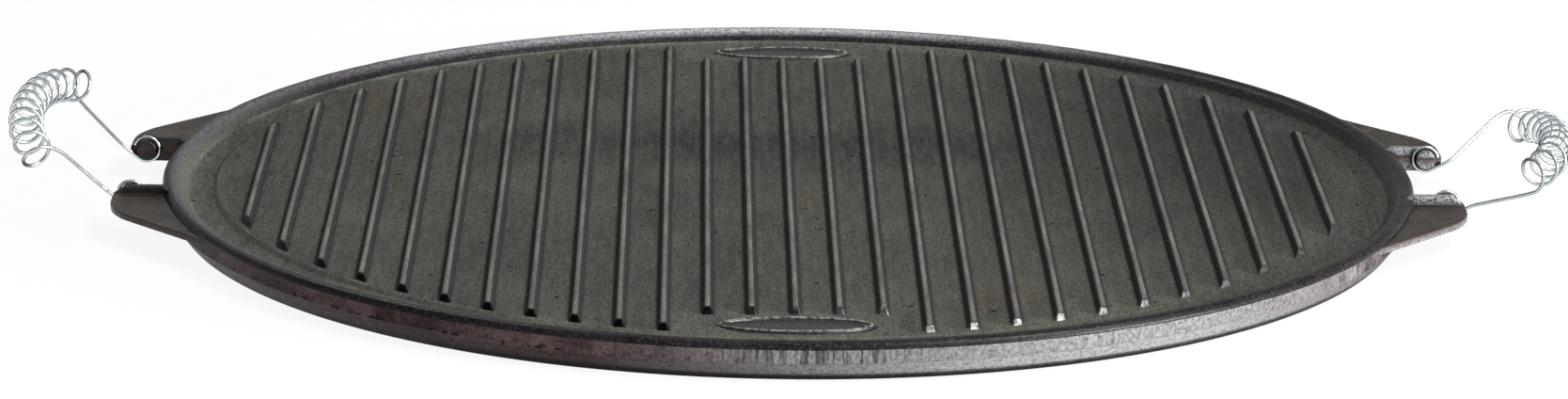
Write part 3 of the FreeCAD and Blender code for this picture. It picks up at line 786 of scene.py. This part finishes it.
def make_lug(name, right, back, material):
    """One lug with its shelf, wall and stub, grown together with the soft edges of a casting."""
    gap = LUG_GAP / 2
    heel = math.sqrt(LUG_ROOT ** 2 - gap ** 2)
    shelf = rounded((
        (heel, gap + WALL_THICK / 2, 0),
        (LUG_REACH, gap + WALL_THICK / 2, 0),
        (LUG_REACH, gap + SHELF_NOSE, SHELF_ROUND),
        (LUG_ROOT * math.cos(SHELF_ANGLE), LUG_ROOT * math.sin(SHELF_ANGLE), 0),
        (LUG_ROOT * math.cos(SHELF_ANGLE * SHELF_BEND), LUG_ROOT * math.sin(SHELF_ANGLE * SHELF_BEND), 0),
    ), 12)
    wall = ((heel, WALL_FOOT), (LUG_REACH - NOSE_LOWER_SLOPE, WALL_FOOT), (LUG_REACH, SHELF_BOTTOM),
            (LUG_REACH, SHELF_TOP), (LUG_REACH - NOSE_UPPER_SLOPE, WALL_TOP), (heel + HEEL_SLOPE, WALL_TOP),
            (heel, RIM_HEIGHT - HEEL_DROP))
    turns = [math.tau * i / STUB_SIDES for i in range(STUB_SIDES)]
    stub = [(HINGE_PLACE + STUB_RADIUS * math.cos(turn), HINGE_HEIGHT + STUB_RADIUS * math.sin(turn))
            for turn in turns]
    places, faces = [], []
    for outline, low, high, lay in (
        (shelf, SHELF_BOTTOM, SHELF_TOP, flat),
        (wall, gap, gap + WALL_THICK, upright),
        (stub, gap - STUB_LENGTH, gap + WALL_THICK / 2, upright),
    ):
        more, sides = prism(outline, low, high, lay)
        faces += shifted(sides, len(places))
        places += [(right * x, back * y, z) for x, y, z in more]
    piece = new_piece(name, places, faces, [material], "plate")
    remesh = piece.modifiers.new("remesh", "REMESH")
    remesh.mode = "VOXEL"
    remesh.voxel_size = LUG_VOXEL * MM
    soften = piece.modifiers.new("soften", "SMOOTH")
    soften.factor = 0.5
    soften.iterations = LUG_SOFTENING
    bpy.context.view_layer.update()
    grown = bpy.data.meshes.new_from_object(piece.evaluated_get(bpy.context.evaluated_depsgraph_get()))
    piece.modifiers.clear()
    piece.data = grown
    ways = [vertex.normal.copy() for vertex in grown.vertices]
    for vertex, way in zip(grown.vertices, ways):
        vertex.co += way * MM * LUG_LUMPS * noise.noise(vertex.co / MM * LUG_WAVES)
    grown.shade_smooth()
    return piece


# Wire handles, in their own axes: X outwards, Y along the hinge line, Z up from the handle's plane

def eye_line(side):
    """The wire from its cut end round the stub and out past the lug, and the way it goes there."""
    first, last = -EYE_OPEN, math.radians(270) + EYE_RISE
    line = []
    for i in range(EYE_STEPS + 1):
        turn = first + (last - first) * i / EYE_STEPS
        line.append(Vector((EYE_RADIUS * math.cos(turn), side * EYE_PLACE, EYE_RADIUS * math.sin(turn))))
    way = Vector((-math.sin(last), 0, math.cos(last)))
    line.append(line[-1] + way * math.sqrt(EYE_CLEAR ** 2 - EYE_RADIUS ** 2))
    return line, way


def bow(turn):
    """Place on the bow that the coil follows, at an angle from its middle."""
    aside = math.sin(turn) / math.sin(GRIP_TURN)
    return Vector((GRIP_PLACE + GRIP_DEPTH * math.cos(turn) + GRIP_SKEW * aside, GRIP_HALF * math.sin(turn),
                   -GRIP_LIFT * aside))


def coil_line():
    """The coil, wound evenly along the bow."""
    turns = [GRIP_TURN * (2 * i / BOW_SLICES - 1) for i in range(BOW_SLICES + 1)]
    fars = [0.0]
    for first, second in zip(turns, turns[1:]):
        fars.append(fars[-1] + (bow(second) - bow(first)).length)
    line = []
    steps = int(COIL_TURNS * COIL_STEPS)
    slot = 0
    for i in range(steps + 1):
        share = i / steps
        wanted = share * fars[-1]
        while slot < BOW_SLICES - 1 and fars[slot + 1] < wanted:
            slot += 1
        inside = (wanted - fars[slot]) / (fars[slot + 1] - fars[slot])
        turn = turns[slot] + (turns[slot + 1] - turns[slot]) * inside
        way = (bow(turn + SLIGHT_TURN) - bow(turn - SLIGHT_TURN)).normalized()
        out = way.cross(Vector((0, 0, 1))).normalized()
        up = out.cross(way)
        phase = math.tau * COIL_TURNS * share
        line.append(bow(turn) + (out * math.sin(phase) - up * math.cos(phase)) * COIL_RADIUS)
    return line


def curve_between(start, corner, end, steps=8):
    """Places on the bend that leaves a start towards a corner and arrives at an end from it."""
    shares = [i / steps for i in range(steps + 1)]
    return [start.lerp(corner, share).lerp(corner.lerp(end, share), share) for share in shares]


def leg_line(side, coil_at, coil_way):
    """The wire from the cut end of an eye up to the coil."""
    line, way = eye_line(side)
    near_lug = line[-1] + way * LEG_BEND
    near_coil = coil_at - coil_way * COIL_BEND
    straight = (near_coil - near_lug).normalized()
    line += curve_between(line[-1], near_lug, near_lug + straight * LEG_BEND)[1:]
    line += curve_between(near_coil - straight * COIL_BEND, near_coil, coil_at)[:-1]
    return line


def wire_line():
    """The whole wire, from one cut end to the other."""
    coil = coil_line()
    first = leg_line(-1, coil[0], (coil[1] - coil[0]).normalized())
    last = leg_line(1, coil[-1], (coil[-2] - coil[-1]).normalized())
    return first + coil + last[::-1]


def make_handle(name, body, place, turned, tilt, material):
    """One handle: a round tube along the whole wire, with its cut ends slightly rounded."""
    swing = Matrix.Rotation(turned, 4, "Z") @ Matrix.Rotation(-math.radians(tilt), 4, "Y")
    line = [Vector((place, 0, HINGE_HEIGHT)) + swing @ at for at in wire_line()]
    ways = [(line[min(i + 1, len(line) - 1)] - line[max(i - 1, 0)]).normalized() for i in range(len(line))]
    side = ways[0].orthogonal().normalized()
    rings = []
    for at, way in zip(line, ways):
        side = (side - way * side.dot(way)).normalized()
        rings.append((at, way, side, 1.0))
    start, end = rings[0], rings[-1]
    rings.insert(0, (start[0] - start[1] * CUT_LENGTH, start[1], start[2], CUT_SHARE))
    rings.append((end[0] + end[1] * CUT_LENGTH, end[1], end[2], CUT_SHARE))
    places = []
    for at, way, side, share in rings:
        other = way.cross(side)
        for i in range(WIRE_SIDES):
            turn = math.tau * i / WIRE_SIDES
            places.append(at + (side * math.cos(turn) + other * math.sin(turn)) * WIRE_RADIUS * share)
    faces = ring_faces(WIRE_SIDES, len(rings))
    last = (len(rings) - 1) * WIRE_SIDES
    faces += [tuple(range(WIRE_SIDES)), tuple(range(last, last + WIRE_SIDES))]
    return new_piece(name, places, faces, [material], body, smooth=45.0)


# Studio

def make_camera():
    """The photo's camera, turned by its azimuth, elevation and roll about the middle of the face."""
    across = Vector((math.cos(AZIMUTH), math.sin(AZIMUTH), 0))
    back = Vector((math.sin(AZIMUTH) * math.cos(ELEVATION), -math.cos(AZIMUTH) * math.cos(ELEVATION),
                   math.sin(ELEVATION)))
    up = back.cross(across)
    right = across * math.cos(ROLL) + up * math.sin(ROLL)
    top = up * math.cos(ROLL) - across * math.sin(ROLL)
    camera = bpy.data.objects.new("camera", bpy.data.cameras.new("camera"))
    bpy.context.scene.collection.objects.link(camera)
    camera.data.sensor_fit = "HORIZONTAL"
    camera.data.sensor_width = SENSOR_WIDTH
    camera.data.lens = FOCAL_PIXELS / PHOTO_WIDTH * SENSOR_WIDTH
    camera.data.shift_x = SHIFT_PIXELS[0] / PHOTO_WIDTH
    camera.data.shift_y = SHIFT_PIXELS[1] / PHOTO_WIDTH
    camera.data.clip_end = 100.0
    place = (Vector((0, 0, FACE_HEIGHT)) + back * DISTANCE) * MM
    turn = Matrix((right, top, back)).transposed().to_4x4()
    camera.matrix_world = Matrix.Translation(place) @ turn
    bpy.context.scene.camera = camera


def make_lamp(name, place, wide, high, watts, colour):
    """A rectangular lamp that faces the middle of the plate."""
    light = bpy.data.lights.new(name, "AREA")
    light.shape = "RECTANGLE"
    light.size = wide
    light.size_y = high
    light.energy = watts
    light.color = colour
    lamp = bpy.data.objects.new(name, light)
    bpy.context.scene.collection.objects.link(lamp)
    lamp.location = place
    lamp.visible_camera = False
    lamp.rotation_euler = (-Vector(place)).to_track_quat("-Z", "Y").to_euler()


def seen_shares(tree):
    """1 for rays that show a surface straight to the camera, and 1 for those that show it in a gloss."""
    path = add_node(tree, "ShaderNodeLightPath")
    gloss = math_node(tree, "MAXIMUM", path.outputs["Is Glossy Ray"], path.outputs["Is Transmission Ray"])
    return path.outputs["Is Camera Ray"], gloss


def make_floor():
    """Pale floor that shows white and keeps a faint shadow."""
    mesh = bpy.data.meshes.new("floor")
    corners = [(x * FLOOR_REACH, y * FLOOR_REACH, 0) for x, y in ((-1, -1), (1, -1), (1, 1), (-1, 1))]
    mesh.from_pydata(corners, [], [(0, 1, 2, 3)])
    floor = bpy.data.objects.new("floor", mesh)
    bpy.context.scene.collection.objects.link(floor)
    material = bpy.data.materials.new("floor")
    material.use_nodes = True
    tree = material.node_tree
    tree.nodes.clear()
    pale = add_node(tree, "ShaderNodeBsdfDiffuse", {"Color": FLOOR_PALE})
    white = add_node(tree, "ShaderNodeEmission", {"Strength": 1.0})
    seen = times(tree, math_node(tree, "MAXIMUM", *seen_shares(tree)), FLOOR_WHITE)
    both = add_node(tree, "ShaderNodeMixShader", {0: seen, 1: pale.outputs[0], 2: white.outputs[0]})
    add_node(tree, "ShaderNodeOutputMaterial", {"Surface": both.outputs[0]})
    mesh.materials.append(material)


def make_world():
    """Soft even light; the camera sees white all round, and a gloss sees it brightest low down."""
    world = bpy.data.worlds.new("studio")
    bpy.context.scene.world = world
    world.use_nodes = True
    tree = world.node_tree
    tree.nodes.clear()
    camera, gloss = seen_shares(tree)
    way = add_node(tree, "ShaderNodeTexCoord").outputs["Generated"]
    up = add_node(tree, "ShaderNodeSeparateXYZ", {"Vector": way}).outputs["Z"]
    low = times(tree, gloss, span(tree, up, 0.1, 0.6, SKY_LOW, SKY_HIGH))
    dim = span(tree, gloss, 0.0, 1.0, SKY_LIGHT, SKY_DARK)
    soft = add_node(tree, "ShaderNodeBackground", {"Color": SKY_COLOUR, "Strength": dim})
    white = add_node(tree, "ShaderNodeBackground", {"Color": (1.0, 1.0, 1.0, 1.0), "Strength": 1.0})
    seen = math_node(tree, "MAXIMUM", camera, low)
    both = add_node(tree, "ShaderNodeMixShader", {0: seen, 1: soft.outputs[0], 2: white.outputs[0]})
    add_node(tree, "ShaderNodeOutputWorld", {"Surface": both.outputs[0]})


def make_studio():
    make_floor()
    make_world()
    for lamp in LAMPS:
        make_lamp(*lamp)
    bpy.context.scene.view_settings.view_transform = "Standard"


make_camera()
make_studio()

lug_skin = iron_lug()
oval_skin = iron_mark()
wire_skin = zinc()

disc = make_disc([iron_face(), iron_bead(), iron_side(), iron_underside()])
ribs = make_ribs([iron_ribs(), iron_rib_ends()])
ovals = [make_oval("oval_back", 1, oval_skin), make_oval("oval_front", -1, oval_skin)]
lugs = [make_lug("lug_%s_%s" % (one, other), right, back, lug_skin)
        for one, right in (("right", 1), ("left", -1)) for other, back in (("back", 1), ("front", -1))]
for piece in [disc, ribs] + ovals + lugs:
    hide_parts("griddle_plate")
left = make_handle("left_wire", "left_grip", -HINGE_PLACE, math.pi, LEFT_TILT, wire_skin)
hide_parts("left_handle")
right = make_handle("right_wire", "right_grip", HINGE_PLACE, 0.0, RIGHT_TILT, wire_skin)
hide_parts("right_handle")
